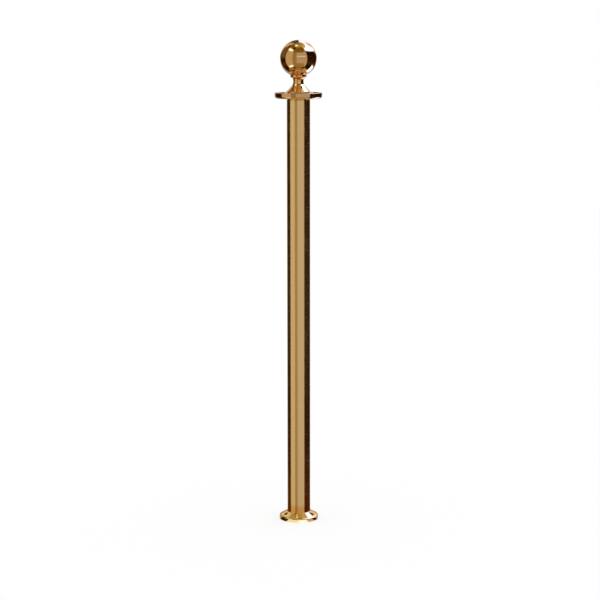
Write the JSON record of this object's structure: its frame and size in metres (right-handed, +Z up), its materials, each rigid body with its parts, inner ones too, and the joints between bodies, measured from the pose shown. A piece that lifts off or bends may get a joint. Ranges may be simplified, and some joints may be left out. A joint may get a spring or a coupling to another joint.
{
  "type": "rope barrier stanchion",
  "caption": "Floor-fixed rope barrier post: a slim polished brass tube on a small conical flange, with a slotted rope plate and a ball finial.",
  "frame": {"origin": "centre of the flange's underside, on the floor, on the post's axis", "axes": "+Z up along the post; -Y is the front, with two of the flange's screw holes either side of it and the third at the back; +X to the right seen from the front"},
  "size_m": [0.0944, 0.0944, 0.975],
  "materials": {
    "polished_gold": "mirror-polished gold-coloured brass, lacquered",
    "satin_gold": "polished gold-coloured brass tube with a fine lengthwise grain, lacquered",
    "steel": "bright zinc-plated steel",
    "nylon": "natural nylon, turned"
  },
  "bodies": {
    "post": {"floor_flange": "polished_gold", "base_nut": "steel", "base_spring_washer": "steel", "base_washer": "steel", "base_centring_plug": "nylon", "post_tube": "satin_gold", "tie_rod": "steel", "tie_rod_jam_nut": "steel", "top_plug": "polished_gold", "lower_slip_washer": "nylon"},
    "rope_plate": {"rope_plate": "polished_gold"},
    "finial_washer": {"upper_slip_washer": "nylon"},
    "finial": {"finial_neck": "polished_gold", "finial_stud": "steel", "finial_lock_nut": "steel", "finial_spring_washer": "steel", "ball_collar": "polished_gold", "ball_boss": "polished_gold", "ball_lower_half": "polished_gold", "ball_upper_half": "polished_gold"}
  },
  "joints": [
    {"name": "rope_plate_swivel", "type": "hinge", "parent": "post", "child": "rope_plate", "pos_m": [0, 0, 0.86562], "axis": [0, 0, 1], "continuous": true},
    {"name": "finial_turn", "type": "hinge", "parent": "post", "child": "finial_washer", "pos_m": [0, 0, 0.87225], "axis": [0, 0, 1], "range_deg": [0, 3360]},
    {"name": "finial_rise", "type": "slide", "parent": "finial_washer", "child": "finial", "axis": [0, 0, 1], "range_m": [0, 0.014]}
  ],
  "couplings": [
    {"joint": "finial_rise", "follows": "finial_turn", "m_per_rad": 0.00023873}
  ]
}
